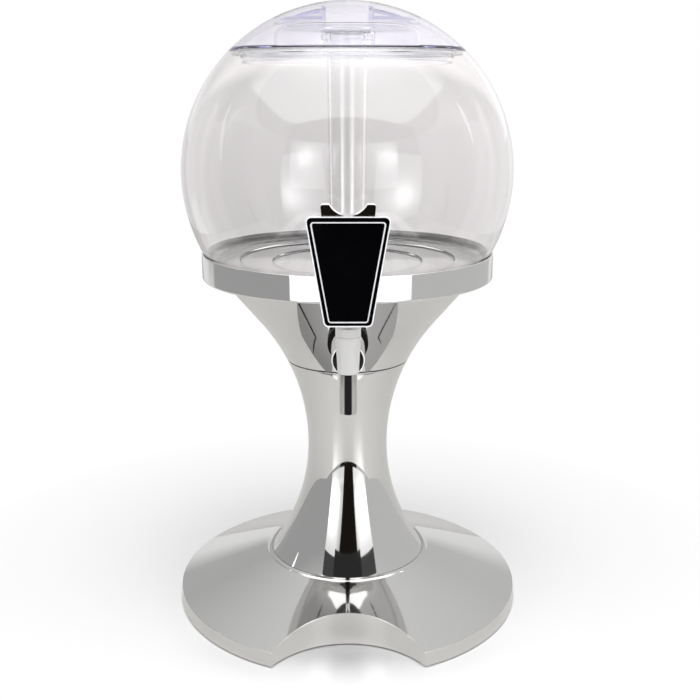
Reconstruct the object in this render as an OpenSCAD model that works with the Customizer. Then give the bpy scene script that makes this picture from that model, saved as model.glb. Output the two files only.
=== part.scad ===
// Table-top drink dispenser: a clear ball tank with a lid and an ice tube,
// standing on a chrome pedestal, with a sprung tap at the front.
// Origin: centre of the underside of the feet. +Z is up, and the tap faces -Y.

/* [Base] */
// Outer diameter of the base plate at the table
base_d = 241.2; // [236:0.2:246]
// Height of the crease at the base plate's outer edge
base_edge_z = 10.4; // [9:0.2:12]
// Height of the land that the column stands on
base_land_z = 33.5; // [32.5:0.1:34.5]
// Radius of the arc notches at the front and the back
notch_r = 57.2; // [52:0.2:60]
// Distance of the notch centres from the middle
notch_y = 140.5; // [138:0.5:146]
// Wall of the base plate shell
base_wall = 3; // [2.5:0.1:3.2]

/* [Pedestal] */
// Diameter of the column at its neck
neck_d = 55.4; // [52:0.2:58]
// Height of the neck
neck_z = 113; // [111:0.5:115]
// Radius of the side arc below the neck
foot_arc_r = 132; // [130:0.5:134]
// Radius of the side arc above the neck
flare_arc_r = 139; // [137:0.5:141]
// Angle from the vertical at which the flare turns into a straight cone
flare_a = 40; // [39:0.5:41]
// Height of the seam between column and funnel
seam_z = 174.4; // [174:0.1:175]
// Height of the funnel's top face
funnel_top_z = 232; // [231.5:0.1:232]
// Wall of the column and of the funnel
ped_wall = 3; // [2.6:0.1:3.2]

/* [Collar] */
// Outer diameter of the collar ring
collar_d = 194.8; // [194.4:0.1:196]
// Height of the collar ring's upper lip
collar_top_z = 248.8; // [247.5:0.1:249]

/* [Tank and lid] */
// Outer diameter of the ball
ball_d = 217.2; // [216.8:0.1:217.4]
// Height of the ball's centre
ball_z = 299.8; // [299.6:0.1:300.2]
// Wall of the tank
tank_wall = 2.6; // [2.2:0.1:2.8]
// Height of the tank's rim, where the lid starts
rim_z = 377.5; // [377:0.1:378]
// Inner radius of the tank's mouth
mouth_r = 69.6; // [69.5:0.1:70]
// Wall of the lid dome
dome_wall = 2.5; // [2:0.1:2.8]
// Width of the grip bar across the lid
grip_w = 31.4; // [28:0.2:34]
// Length of the finger pockets from front to back
pocket_l = 26; // [22:0.5:28]
// Height of the finger pockets' floor
pocket_z = 397.6; // [397:0.1:398.5]

/* [Ice tube] */
// Outer radius of the ice tube at its top
tube_top_r = 13.2; // [13:0.1:13.4]
// Outer radius of the ice tube at its bottom
tube_end_r = 12; // [11:0.1:12.5]
// Wall of the ice tube
tube_wall = 1.8; // [1.4:0.1:2]
// Height of the lowest point of the ice tube
tube_end_z = 254; // [250:0.5:275]

/* [Tap] */
// Distance of the tap barrel's axis in front of the column's axis
tap_out = 118; // [117:0.5:120]
// Height of the shank's axis
shank_z = 202.5; // [202:0.1:203]
// Outer radius of the shank's thread
shank_r = 7; // [6.8:0.1:7]
// Lowest point of the nozzle
nozzle_z = 172.5; // [168:0.5:178]
// Outer radius of the nozzle
nozzle_r = 5.03; // [4.9:0.01:5.05]
// Inner radius of the nozzle
nozzle_bore_r = 3.6; // [3:0.1:3.7]
// Height of the lever's pivot pin
pivot_z = 229.65; // [229.6:0.05:229.8]
// Width of the lever's face at the top
face_top_w = 46.2; // [42:0.2:48]
// Width of the lever's face at the bottom
face_end_w = 27.6; // [24:0.2:28]
// Height of the lever's face
face_h = 61.3; // [58:0.1:63]

/* [Hidden] */
$fn = 96;
eps = 0.01;
base_r = base_d / 2;
neck_r = neck_d / 2;
collar_r = collar_d / 2;
ball_r = ball_d / 2;
foot_h = 1;                       // the feet stand this far below the base plate's edge
edge_r = base_r - 0.7;            // radius at the crease
land_r = 54.9;                    // radius of the land inside the bead
cone_k = (base_land_z - base_edge_z) / (edge_r - land_r);
seat_z = 238;                     // top face of the seat plate
floor_z = seat_z + 0.15;          // underside of the tank
tap_y = -tap_out;
face_z = 227.1;                   // lower edge of the lever's face
face_y = tap_y - 13.4;            // front plane of the lever's face
bonnet_z = pivot_z - 5.3;         // top of the bonnet
column_screw_a = [45, 135, 225, 315];
cover_screw_a = [0, 36, 144, 180, 216, 324];
seat_screw_a = [30, 90, 150, 210, 270, 330];
third_a = [30, 150, 270];

function cone_z(r) = base_edge_z + (edge_r - r) * cone_k;
function unit(v) = v / norm(v);
function side_of(a, b) = let (d = unit(b - a)) [d[1], -d[0]];

// ---- shared shapes ----

// Ring about the Z axis between two radii and two heights
module ring(r1, r2, z1, z2) {
  translate([0, 0, z1]) difference() {
    cylinder(h = z2 - z1, r = r2);
    translate([0, 0, -1]) cylinder(h = z2 - z1 + 2, r = r1);
  }
}

// Upright cylinder between two heights
module post(r, z1, z2) { translate([0, 0, z1]) cylinder(h = z2 - z1, r = r, $fn = 48); }

// Cylinder along Y at height z, between y1 and y2
module bar_y(r, y1, y2, z, fn = 64) {
  translate([0, y2, z]) rotate([90, 0, 0]) cylinder(h = y2 - y1, r = r, $fn = fn);
}

// Cylinder along X through the pivot's axis
module bar_x(r, w, z, fn = 48) {
  translate([-w / 2, tap_y, z]) rotate([0, 90, 0]) cylinder(h = w, r = r, $fn = fn);
}

// Copies at a radius and a list of angles
module around(r, angles) { for (a = angles) rotate(a) translate([r, 0, 0]) children(); }

// Convex outline with round corners; the points are the corners' centres, anticlockwise
module rounded(points, r) {
  n = len(points);
  polygon([for (i = [0 : n - 1]) for (k = [0, 1])
    points[i] + r * (k == 0 ? side_of(points[(i + n - 1) % n], points[i])
                            : side_of(points[i], points[(i + 1) % n]))]);
  for (p = points) translate(p) circle(r = r, $fn = 48);
}

// Outline drawn in X and Z, made solid between y1 and y2
module from_front(y1, y2) {
  translate([0, y2, 0]) rotate([90, 0, 0]) linear_extrude(y2 - y1) children();
}

// Outline drawn in Y and Z, made solid across the width w
module from_side(w) {
  translate([-w / 2, 0, 0]) rotate([90, 0, 90]) linear_extrude(w) children();
}

// Pan-head screw: head from z1 to z2, shank down to z0 (or up to it, when z0 is above)
module screw_solid(head_r, shank_r, z0, z1, z2) {
  post(head_r, z1, z2);
  if (z0 < z1) post(shank_r, z0, z1 + eps);
  else post(shank_r, z2 - eps, z0);
}

// Half section of the pedestal's outside, moved inwards by off, between two heights
module column_half(off, z1, z2) {
  difference() {
    translate([0, z1]) square([100, neck_z - z1]);
    translate([neck_r + foot_arc_r, neck_z]) circle(r = foot_arc_r + off, $fn = 360);
  }
  difference() {
    translate([0, neck_z]) square([100, z2 - neck_z]);
    translate([neck_r + flare_arc_r, neck_z]) circle(r = flare_arc_r + off, $fn = 360);
  }
}

// Half section of the funnel's outside, moved inwards by off, between two heights
module funnel_half(off, z1, z2) {
  zt = neck_z + (flare_arc_r + off) * sin(flare_a);
  rt = neck_r + flare_arc_r - (flare_arc_r + off) * cos(flare_a);
  difference() {
    translate([0, z1]) square([110, zt - z1]);
    translate([neck_r + flare_arc_r, neck_z]) circle(r = flare_arc_r + off, $fn = 360);
  }
  polygon([[0, zt], [rt, zt], [rt + (z2 - zt) * tan(flare_a), z2], [0, z2]]);
}

// Half disc of radius r about the ball's centre, between two heights
module ball_half(r, z1, z2) {
  intersection() {
    translate([0, ball_z]) circle(r = r, $fn = 240);
    translate([0, z1]) square([r + 1, z2 - z1]);
  }
}

// The two notch cylinders, with radius r
module notches(r) {
  for (s = [-1, 1]) translate([0, s * notch_y, -5]) cylinder(h = 60, r = r, $fn = 180);
}

// ---- base ----

// Chrome shell with a shallow cone top, two notches and screw bosses below
module base_plate() {
  color([0.80, 0.80, 0.82]) difference() {
    union() {
      difference() {
        union() {
          rotate_extrude($fn = 240) polygon([[0, foot_h], [base_r, foot_h], [edge_r, base_edge_z],
            [57.6, cone_z(57.6)], [57.1, cone_z(57.1) + 0.6], [land_r + 0.4, cone_z(land_r) + 0.6],
            [land_r, base_land_z], [0, base_land_z]]);
          ring(43.8, 46.7, base_land_z - 1, base_land_z + 4.3);
        }
        notches(notch_r);
        difference() {
          rotate_extrude($fn = 240) polygon([[0, -1], [base_r - base_wall, -1],
            [base_r - base_wall - 0.6, base_edge_z - 2.2], [57, base_land_z - 4.1], [0, base_land_z - 4.1]]);
          notches(notch_r + base_wall);
        }
      }
      around(92, cover_screw_a) post(4, 4.3, 18.6);
    }
    post(27.5, 20, 60);
    around(36, column_screw_a) post(2.2, 20, 60);
    around(92, cover_screw_a) post(1.45, 3, 15);
  }
}

// Flat cover under the base, with recesses for the feet
module base_cover() {
  color([0.12, 0.12, 0.13]) difference() {
    translate([0, 0, 1.6]) cylinder(h = 2.5, r = base_r - base_wall - 0.4, $fn = 240);
    notches(notch_r + base_wall + 0.4);
    around(98, column_screw_a) post(8.2, 1, 3);
    post(8.2, 1, 3);
    around(92, cover_screw_a) post(1.6, 0, 6);
    around(92, cover_screw_a) post(3.4, 0, 3);
  }
}

// Four rubber feet near the edge and one in the middle
module rubber_feet() {
  color([0.09, 0.09, 0.09]) {
    around(98, column_screw_a) post(8, 0, 2.95);
    post(8, 0, 2.95);
  }
}

module cover_screws() {
  color([0.62, 0.62, 0.64]) around(92, cover_screw_a) screw_solid(3.1, 1.4, 14, 1.75, 2.95);
}

module column_screws() {
  color([0.62, 0.62, 0.64]) around(36, column_screw_a)
    screw_solid(3.8, 1.9, 48, base_land_z - 7.2, base_land_z - 4.15);
}

// ---- pedestal ----

// Trumpet column: thin shell, four bosses in the foot, a ring deck at the top
module column() {
  color([0.82, 0.82, 0.84]) difference() {
    union() {
      rotate_extrude($fn = 180) difference() {
        column_half(0, base_land_z + 0.05, seam_z);
        column_half(ped_wall, base_land_z - 1, seam_z + 1);
      }
      ring(20, 38, seam_z - 5.9, seam_z + 2.6);
      intersection() {
        around(36, column_screw_a) post(4.5, base_land_z + 0.05, 62);
        rotate_extrude($fn = 180) column_half(1, base_land_z, 70);
      }
    }
    around(36, column_screw_a) post(1.96, 30, 50);
    around(30, third_a) post(1.96, seam_z - 10, seam_z + 5);
  }
}

// Flared funnel on top of the column, with a screw flange at each end
module funnel() {
  color([0.82, 0.82, 0.84]) difference() {
    union() {
      rotate_extrude($fn = 180) difference() {
        funnel_half(0, seam_z + 0.2, funnel_top_z);
        funnel_half(ped_wall, seam_z - 1, funnel_top_z + 1);
      }
      rotate_extrude($fn = 180) polygon([[20, seam_z + 2.8], [41.6, seam_z + 2.8], [43.4, seam_z + 6], [20, seam_z + 6]]);
      rotate_extrude($fn = 180) polygon([[68, funnel_top_z - 3.6], [80.5, funnel_top_z - 3.6],
        [83.4, funnel_top_z], [68, funnel_top_z]]);
    }
    bar_y(7.6, -95, -20, shank_z);
    around(30, third_a) post(2.2, seam_z - 2, seam_z + 10);
    around(75, seat_screw_a) post(1.45, funnel_top_z - 6, funnel_top_z + 2);
  }
}

module funnel_screws() {
  color([0.62, 0.62, 0.64]) around(30, third_a)
    screw_solid(3.6, 1.9, seam_z - 8, seam_z + 6.1, seam_z + 8.6);
}

// Chrome band round the foot of the ball; its lower flange is clamped by the seat plate
module collar_ring() {
  z0 = funnel_top_z + 0.1;
  lip_r = collar_r - 1;
  color([0.84, 0.84, 0.85]) difference() {
    rotate_extrude($fn = 240) {
      polygon([[70, z0], [collar_r - 1.2, z0], [collar_r, z0 + 1.2], [collar_r, collar_top_z],
        [lip_r, collar_top_z], [lip_r - 1.4, collar_top_z - 2.4], [lip_r - 1.4, z0 + 2.5], [70, z0 + 2.5]]);
      translate([collar_r - 1.2, z0 + 1.2]) circle(r = 1.2, $fn = 48);
    }
    around(75, seat_screw_a) post(1.7, z0 - 1, z0 + 4);
  }
}

// Round plate that the ball stands on, with concentric grooves
module seat_plate() {
  z0 = funnel_top_z + 2.8;
  color([0.72, 0.71, 0.69]) difference() {
    rotate_extrude($fn = 180) polygon([[12.3, z0], [94.4, z0], [94.4, seat_z],
      [86.6, seat_z], [86.6, seat_z - 0.7], [85, seat_z - 0.7], [85, seat_z],
      [72.6, seat_z], [72.6, seat_z - 0.7], [71, seat_z - 0.7], [71, seat_z],
      [51.5, seat_z], [51.5, seat_z - 0.7], [49.9, seat_z - 0.7], [49.9, seat_z],
      [12.3, seat_z]]);
    around(75, seat_screw_a) { post(1.7, z0 - 1, seat_z + 1); post(3.3, seat_z - 1.8, seat_z + 1); }
    around(19.5, third_a) { post(1.7, z0 - 1, seat_z + 1); post(3.3, seat_z - 1.8, seat_z + 1); }
  }
}

module seat_screws() {
  color([0.62, 0.62, 0.64]) around(75, seat_screw_a)
    screw_solid(3, 1.4, funnel_top_z - 5.5, seat_z - 1.75, seat_z - 0.1);
}

// ---- outlet ----

// Elbow under the seat plate: socket for the tank's spigot, threaded arm for the tap
module outlet_manifold() {
  top = funnel_top_z + 2.7;
  color([0.90, 0.90, 0.88]) difference() {
    union() {
      post(24, top - 6.1, top);
      post(15.2, shank_z - 10, top - 3);
      bar_y(10.5, -44, 0, shank_z);
    }
    post(11.35, 214, top + 1);
    post(6.5, shank_z - 5, 215);
    bar_y(4.5, -35, 0, shank_z);
    bar_y(shank_r + 0.05, -45, -27.5, shank_z);
    around(19.5, third_a) post(1.45, top - 8, top + 1);
  }
}

module manifold_screws() {
  color([0.62, 0.62, 0.64]) around(19.5, third_a)
    screw_solid(3, 1.4, funnel_top_z - 2.5, seat_z - 1.75, seat_z - 0.1);
}

// ---- tank ----

// Clear ball with a stepped floor, an inward rim and an outlet spigot
module tank() {
  ri = ball_r - tank_wall;
  color([0.88, 0.90, 0.92, 0.3]) rotate_extrude($fn = 240) difference() {
    union() {
      ball_half(ball_r, floor_z, rim_z);
      translate([0, floor_z - 21]) square([10, 22]);
    }
    // the inside of the ball above the highest step
    ball_half(ri, floor_z + 6.4, rim_z - 2.5);
    // floor steps, falling towards the outlet
    polygon([[0, floor_z + 2.4], [7, floor_z + 2.4], [50, floor_z + 3], [50.6, floor_z + 4.2],
      [71.8, floor_z + 4.6], [72.4, floor_z + 5.8], [84, floor_z + 6.1], [86, floor_z + 6.5], [0, floor_z + 6.5]]);
    // mouth
    translate([0, rim_z - 3]) square([mouth_r, 5]);
    // spigot bore and seal groove
    translate([0, floor_z - 22]) square([7, 26]);
    translate([8.7, floor_z - 18.2]) square([3, 2.8]);
  }
}

module outlet_oring() {
  color([0.15, 0.15, 0.15]) rotate_extrude($fn = 96) translate([10, floor_z - 16.8]) circle(r = 1.28, $fn = 32);
}

// ---- lid ----

// Cap that completes the ball, with a grip bar between two finger pockets
module lid_dome() {
  z0 = rim_z + 0.2;
  color([0.80, 0.84, 0.95, 0.35]) difference() {
    union() {
      rotate_extrude($fn = 240) difference() {
        ball_half(ball_r, z0, ball_z + ball_r + 1);
        ball_half(ball_r - dome_wall, z0 - 1, ball_z + ball_r + 1);
      }
      intersection() {
        rotate_extrude($fn = 240) ball_half(ball_r, z0, ball_z + ball_r + 1);
        for (s = [0, 180]) rotate(s)
          translate([grip_w / 2 - 2.2, -pocket_l / 2 - 2.2, pocket_z - 2.3]) cube([60, pocket_l + 4.4, 20]);
      }
    }
    for (s = [0, 180]) rotate(s)
      translate([grip_w / 2, -pocket_l / 2, pocket_z]) cube([60, pocket_l, 20]);
  }
}

// Half section of the raised cup, moved inwards by off
module cup_half(off, z1) {
  translate([0, z1]) square([47 - off, 386 - z1]);
  translate([0, z1]) square([41, 392 - off - z1]);
  translate([41, 386]) circle(r = 6 - off, $fn = 48);
}

// Flat ring that closes the lid below, between the dome and the cup
module lid_plate() {
  z0 = rim_z + 0.2;
  color([0.80, 0.84, 0.95, 0.35]) rotate_extrude($fn = 240) difference() {
    ball_half(ball_r - dome_wall - 0.1, z0, z0 + 1.9);
    translate([-1, z0 - 1]) square([48.05, 4]);
  }
}

// Skirt that centres the lid in the tank's mouth, with a ledge under the seal
module lid_skirt() {
  z1 = rim_z + 0.15;
  color([0.80, 0.84, 0.95, 0.35]) rotate_extrude($fn = 240)
    polygon([[65.6, 370], [67.5, 370], [67.5, 373.2], [68.5, 373.2], [68.5, 374.1], [67.5, 374.1], [67.5, z1], [65.6, z1]]);
}

// Raised cup in the middle of the lid, open below
module tube_cup() {
  color([0.80, 0.84, 0.95, 0.35]) rotate_extrude($fn = 240) difference() {
    cup_half(0, rim_z + 0.2);
    cup_half(2, rim_z - 1);
  }
}

// Bayonet ring under the cup's top, with two slots that let the ice tube's lugs in
module tube_socket() {
  color([0.80, 0.84, 0.95, 0.35]) difference() {
    rotate_extrude($fn = 180)
      polygon([[13.9, 380], [18, 380], [18, 389.95], [15.6, 389.95], [15.6, 384.2], [13.9, 384.2]]);
    for (a = [60, 240]) rotate(a) intersection() {
      translate([10, -4.8, 378]) cube([10, 9.6, 7]);
      post(15.9, 377, 387);
    }
  }
}

module lid_seal() {
  color([0.86, 0.87, 0.88]) ring(67.55, mouth_r - 0.25, rim_z - 2.6, rim_z - 0.3);
}

// Half section of the ice tube's outside, moved inwards by off, up to z2
module tube_half(off, z2) {
  zc = tube_end_z + tube_end_r;
  intersection() {
    translate([0, zc]) circle(r = tube_end_r - off, $fn = 96);
    translate([0, zc - 30]) square([30, 30]);
  }
  k = (tube_top_r - tube_end_r) / (388.6 - zc);
  polygon([[0, zc], [tube_end_r - off, zc], [tube_end_r - off + (z2 - zc) * k, z2], [0, z2]]);
}

// Clear tube for ice, closed at the bottom, with two bayonet lugs at the top
module ice_tube() {
  color([0.92, 0.94, 0.96, 0.3]) {
    difference() {
      union() {
        rotate_extrude($fn = 120) tube_half(0, 388.6);
        intersection() {
          translate([-20, -4, 384.6]) cube([40, 8, 2.8]);
          post(15.3, 384, 388);
        }
      }
      rotate_extrude($fn = 120) tube_half(tube_wall, 390);
    }
  }
}

module ice_tube_seal() {
  color([0.86, 0.87, 0.88]) ring(11.2, 15.3, 388.7, 389.95);
}

// ---- tap ----

// Wedge gasket that gives the tap an upright face on the sloping funnel
module tap_gasket() {
  color([0.05, 0.05, 0.05]) difference() {
    bar_y(12.6, tap_y + 44.5, -44, shank_z, 96);
    rotate_extrude($fn = 180) funnel_half(-0.05, seam_z + 1, 240);
    bar_y(shank_r + 0.1, -90, -30, shank_z);
  }
}

// Hexagon nut on the shank
module tap_lock_nut() {
  color([0.08, 0.08, 0.08]) difference() {
    bar_y(9.6, tap_y + 37.4, tap_y + 44.4, shank_z, 6);
    bar_y(shank_r + 0.06, -95, -60, shank_z);
  }
}

// Barrel with its rear bell and threaded shank
module tap_body() {
  color([0.84, 0.84, 0.85]) difference() {
    union() {
      translate([0, tap_y, 197]) cylinder(h = 22, r1 = 6.15, r2 = 7.3, $fn = 96);
      translate([0, 0, shank_z]) rotate([90, 0, 0]) rotate_extrude($fn = 96)
        polygon([[0, 29.2], [shank_r, 29.2], [shank_r, tap_out - 37.2], [10.6, tap_out - 37.2], [9.7, tap_out - 11],
          [9.7, tap_out - 6.6], [9.1, tap_out - 6], [5.4, tap_out - 6], [5.4, tap_out], [0, tap_out]]);
    }
    translate([0, tap_y, 0]) {
      post(5, 199.6, 230);
      post(nozzle_bore_r, 190, 200);
      post(nozzle_r + 0.03, 190, 198.6);
    }
    bar_y(2.8, tap_y, -20, shank_z);
  }
}

// Spout pressed into the barrel from below
module nozzle() {
  color([0.82, 0.82, 0.84]) translate([0, tap_y, 0]) ring(nozzle_bore_r, nozzle_r, nozzle_z, 198.55);
}

module shank_seal() {
  color([0.85, 0.85, 0.85]) difference() {
    bar_y(6.9, -29.1, -27.6, shank_z);
    bar_y(3.2, -35, -20, shank_z);
  }
}

module stem_seal() {
  color([0.85, 0.85, 0.85]) translate([0, tap_y, 0]) ring(1.66, 4.93, 205.9, 208.5);
}

// Screwed cap of the barrel, with the spring's chamber
module bonnet() {
  color([0.84, 0.84, 0.85]) translate([0, tap_y, 0]) difference() {
    union() {
      post(4.95, 208.6, 220);
      translate([0, 0, 219.05]) cylinder(h = bonnet_z - 219.05, r = 7.3, $fn = 96);
    }
    post(3.6, 208, 221.6);
    post(1.68, 208, 230);
  }
}

// Rod with the spring collar and the eye for the pivot pin
module valve_stem() {
  color([0.75, 0.75, 0.77]) difference() {
    union() {
      translate([0, tap_y, 0]) { post(1.6, 200.6, pivot_z); post(3.2, 209.6, 210.8); }
      bar_x(3.2, 4.4, pivot_z);
    }
    bar_x(1.3, 10, pivot_z);
  }
}

module valve_seal() {
  color([0.85, 0.85, 0.85]) translate([0, tap_y, 0]) difference() {
    post(4.5, 199.7, 202);
    post(1.63, 200.55, 203);
  }
}

// Coil spring: a wire swept along a helix between the stem's collar and the bonnet
module return_spring() {
  turns = 6;
  per_turn = 18;
  sides = 8;
  coil_r = 2.55;
  wire_r = 0.32;
  z1 = 210.85 + wire_r;
  z2 = 221.5 - wire_r;
  n = turns * per_turn;
  pts = [for (i = [0 : n]) let (a = 360 * i / per_turn, z = z1 + (z2 - z1) * i / n)
    for (j = [0 : sides - 1]) let (b = 360 * j / sides, r = coil_r + wire_r * cos(b))
      [r * cos(a), r * sin(a), z + wire_r * sin(b)]];
  faces = concat(
    [[for (j = [0 : sides - 1]) j]],
    [[for (j = [sides - 1 : -1 : 0]) n * sides + j]],
    [for (i = [0 : n - 1]) for (j = [0 : sides - 1]) let (k = (j + 1) % sides)
      [i * sides + j, (i + 1) * sides + j, (i + 1) * sides + k, i * sides + k]]);
  color([0.70, 0.70, 0.72]) translate([0, tap_y, 0]) polyhedron(points = pts, faces = faces, convexity = 10);
}

// Trapezoid outline of the lever's face, moved inwards by off
module face_outline(off, r) {
  rounded([[-face_end_w / 2 + off + r, face_z + off + r], [face_end_w / 2 - off - r, face_z + off + r],
    [face_top_w / 2 - off - r, face_z + face_h - off - r], [-face_top_w / 2 + off + r, face_z + face_h - off - r]], r);
}

// Lever: heel on the pivot pin, arm with a saddle top, and the frame of the label
module lever() {
  color([0.84, 0.84, 0.85]) difference() {
    union() {
      from_side(12.8) translate([tap_y, pivot_z]) mirror([1, 0]) {
        circle(r = 5, $fn = 64);
        polygon([[0, -5], [7, -5], [8.3, -3.9], [10.6, -1.9], [10.6, 14], [2.4, 14], [-4.3, 2.5], [0, 0]]);
      }
      from_front(face_y + 2.8, face_y + 11) difference() {
        rounded([[-7.6, 229.8], [7.6, 229.8], [13.85, 293.2], [-13.85, 293.2]], 1.2);
        translate([0, 299]) circle(r = 11.5, $fn = 96);
      }
      from_front(face_y, face_y + 3) face_outline(0, 3);
    }
    from_front(face_y - 1, face_y + 0.8) face_outline(0.65, 2.5);
    from_side(5.2) translate([tap_y, pivot_z]) mirror([1, 0]) {
      circle(r = 4.1, $fn = 48);
      polygon([[-2.4, 0], [-2.4, -6], [6.2, -6], [4.1, 0]]);
    }
    bar_x(1.27, 20, pivot_z);
  }
}

// Black insert on the lever's face
module label_plate() {
  color([0.02, 0.02, 0.02]) from_front(face_y + 0.1, face_y + 0.77) face_outline(0.75, 2.4);
}

module pivot_pin() {
  color([0.70, 0.70, 0.72]) bar_x(1.25, 12.6, pivot_z);
}

base_plate();
base_cover();
rubber_feet();
cover_screws();
column_screws();
column();
funnel();
funnel_screws();
collar_ring();
seat_plate();
seat_screws();
outlet_manifold();
manifold_screws();
tank();
outlet_oring();
lid_dome();
lid_plate();
lid_skirt();
tube_cup();
tube_socket();
lid_seal();
ice_tube();
ice_tube_seal();
tap_gasket();
tap_lock_nut();
tap_body();
nozzle();
shank_seal();
stem_seal();
bonnet();
valve_stem();
valve_seal();
return_spring();
lever();
label_plate();
pivot_pin();
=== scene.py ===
import math

import bmesh
import bpy
from mathutils import Matrix, Vector


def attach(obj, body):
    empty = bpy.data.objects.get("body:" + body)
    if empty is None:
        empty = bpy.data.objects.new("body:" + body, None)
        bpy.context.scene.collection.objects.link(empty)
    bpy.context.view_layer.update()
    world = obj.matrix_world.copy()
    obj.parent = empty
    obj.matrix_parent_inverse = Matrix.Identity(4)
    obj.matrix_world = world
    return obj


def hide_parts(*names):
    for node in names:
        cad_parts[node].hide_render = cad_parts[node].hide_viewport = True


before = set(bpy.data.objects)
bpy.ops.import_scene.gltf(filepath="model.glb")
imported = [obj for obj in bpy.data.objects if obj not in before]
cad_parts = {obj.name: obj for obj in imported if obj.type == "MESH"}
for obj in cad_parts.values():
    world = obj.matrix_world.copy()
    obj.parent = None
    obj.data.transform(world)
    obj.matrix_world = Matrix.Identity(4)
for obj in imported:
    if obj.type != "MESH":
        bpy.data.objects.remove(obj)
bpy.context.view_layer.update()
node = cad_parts
scene = bpy.context.scene
MM = 0.001


# ---------------------------------------------------------------- outlines and meshes (mm)

def arc(cx, cz, r, a0, a1, n):
    """Points on an arc, angles in degrees."""
    out = []
    for i in range(n + 1):
        a = math.radians(a0 + (a1 - a0) * i / n)
        out.append((cx + r * math.cos(a), cz + r * math.sin(a)))
    return out


def soften(points, n=4, guard=True):
    """A closed outline whose corners given as (x, y, radius) are rounded, with a guard point on long straight sides."""
    out = []
    count = len(points)
    for i, p in enumerate(points):
        if len(p) == 2:
            out.append((p[0], p[1]))
            continue
        a = Vector(points[i - 1][:2])
        b = Vector(p[:2])
        c = Vector(points[(i + 1) % count][:2])
        u, v = (a - b), (c - b)
        lu, lv = u.length, v.length
        u.normalize()
        v.normalize()
        half = math.acos(max(-1.0, min(1.0, u.dot(v)))) / 2
        reach = min(p[2] / math.tan(half), lu * 0.45, lv * 0.45)
        r = reach * math.tan(half)
        centre = b + (u + v).normalized() * (r / math.sin(half))
        s, e = b + u * reach, b + v * reach
        if guard and lu > reach * 3:
            out.append(tuple(b + u * min(reach * 1.6, lu * 0.5)))
        s0, e0 = s - centre, e - centre
        a0 = math.atan2(s0.y, s0.x)
        turn = math.atan2(e0.y, e0.x) - a0
        while turn > math.pi:
            turn -= 2 * math.pi
        while turn < -math.pi:
            turn += 2 * math.pi
        for k in range(n + 1):
            t = a0 + turn * k / n
            out.append((centre.x + r * math.cos(t), centre.y + r * math.sin(t)))
        if guard and lv > reach * 3:
            out.append(tuple(b + v * min(reach * 1.6, lv * 0.5)))
    return out


def rounded(centres, r, n=8):
    """The outline that a disc of radius r sweeps round a convex, anticlockwise polygon of centres."""
    out = []
    count = len(centres)
    for i in range(count):
        p, c, q = (Vector(centres[(i + j) % count]) for j in (-1, 0, 1))
        a, b = (c - p).normalized(), (q - c).normalized()
        t0, t1 = math.atan2(-a.x, a.y), math.atan2(-b.x, b.y)
        while t1 < t0:
            t1 += 2 * math.pi
        for j in range(n + 1):
            t = t0 + (t1 - t0) * j / n
            out.append((c.x + r * math.cos(t), c.y + r * math.sin(t)))
    return out


def make(name, verts, faces, sharp=32):
    me = bpy.data.meshes.new(name)
    me.from_pydata([tuple(Vector(v) * MM) for v in verts], [], faces)
    me.validate()
    bm = bmesh.new()
    bm.from_mesh(me)
    bmesh.ops.recalc_face_normals(bm, faces=bm.faces)
    bm.to_mesh(me)
    bm.free()
    ob = bpy.data.objects.new(name, me)
    scene.collection.objects.link(ob)
    smooth(ob, sharp)
    return ob


def smooth(ob, sharp=32):
    ob.data.shade_smooth()
    ob.data.set_sharp_from_angle(angle=math.radians(sharp))


def lathe(name, outline, seg=240, turn=None, sharp=32):
    """Revolves a closed outline of (radius, height) points about Z. turn is a matrix in mm that then places it."""
    verts, faces, rings = [], [], []
    for r, z in outline:
        if r < 1e-4:
            rings.append([len(verts)])
            verts.append((0.0, 0.0, z))
        else:
            rings.append(list(range(len(verts), len(verts) + seg)))
            for k in range(seg):
                a = 2 * math.pi * k / seg
                verts.append((r * math.cos(a), r * math.sin(a), z))
    for i in range(len(rings)):
        a, b = rings[i], rings[(i + 1) % len(rings)]
        if len(a) == 1 and len(b) == 1:
            continue
        for k in range(seg):
            k2 = (k + 1) % seg
            if len(a) == 1:
                faces.append((a[0], b[k2], b[k]))
            elif len(b) == 1:
                faces.append((a[k], a[k2], b[0]))
            else:
                faces.append((a[k], a[k2], b[k2], b[k]))
    if turn is not None:
        verts = [tuple(turn @ Vector(v)) for v in verts]
    return make(name, verts, faces, sharp)


def slab(name, outline, y0, y1, sharp=32):
    """An outline in X and Z, made solid between y0 and y1."""
    n = len(outline)
    verts = [(x, y0, z) for x, z in outline] + [(x, y1, z) for x, z in outline]
    faces = [tuple(range(n)), tuple(range(2 * n - 1, n - 1, -1))]
    faces += [(i, (i + 1) % n, n + (i + 1) % n, n + i) for i in range(n)]
    return make(name, verts, faces, sharp)


def across(name, outline, x0, x1, sharp=32):
    """An outline in Y and Z, made solid between x0 and x1."""
    n = len(outline)
    verts = [(x0, y, z) for y, z in outline] + [(x1, y, z) for y, z in outline]
    faces = [tuple(range(n)), tuple(range(2 * n - 1, n - 1, -1))]
    faces += [(i, (i + 1) % n, n + (i + 1) % n, n + i) for i in range(n)]
    return make(name, verts, faces, sharp)


def upright(name, outline, z0, z1, turn=None, sharp=32):
    """An outline in X and Y, made solid between z0 and z1."""
    n = len(outline)
    verts = [(x, y, z0) for x, y in outline] + [(x, y, z1) for x, y in outline]
    if turn is not None:
        verts = [tuple(turn @ Vector(v)) for v in verts]
    faces = [tuple(range(n)), tuple(range(2 * n - 1, n - 1, -1))]
    faces += [(i, (i + 1) % n, n + (i + 1) % n, n + i) for i in range(n)]
    return make(name, verts, faces, sharp)


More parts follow.
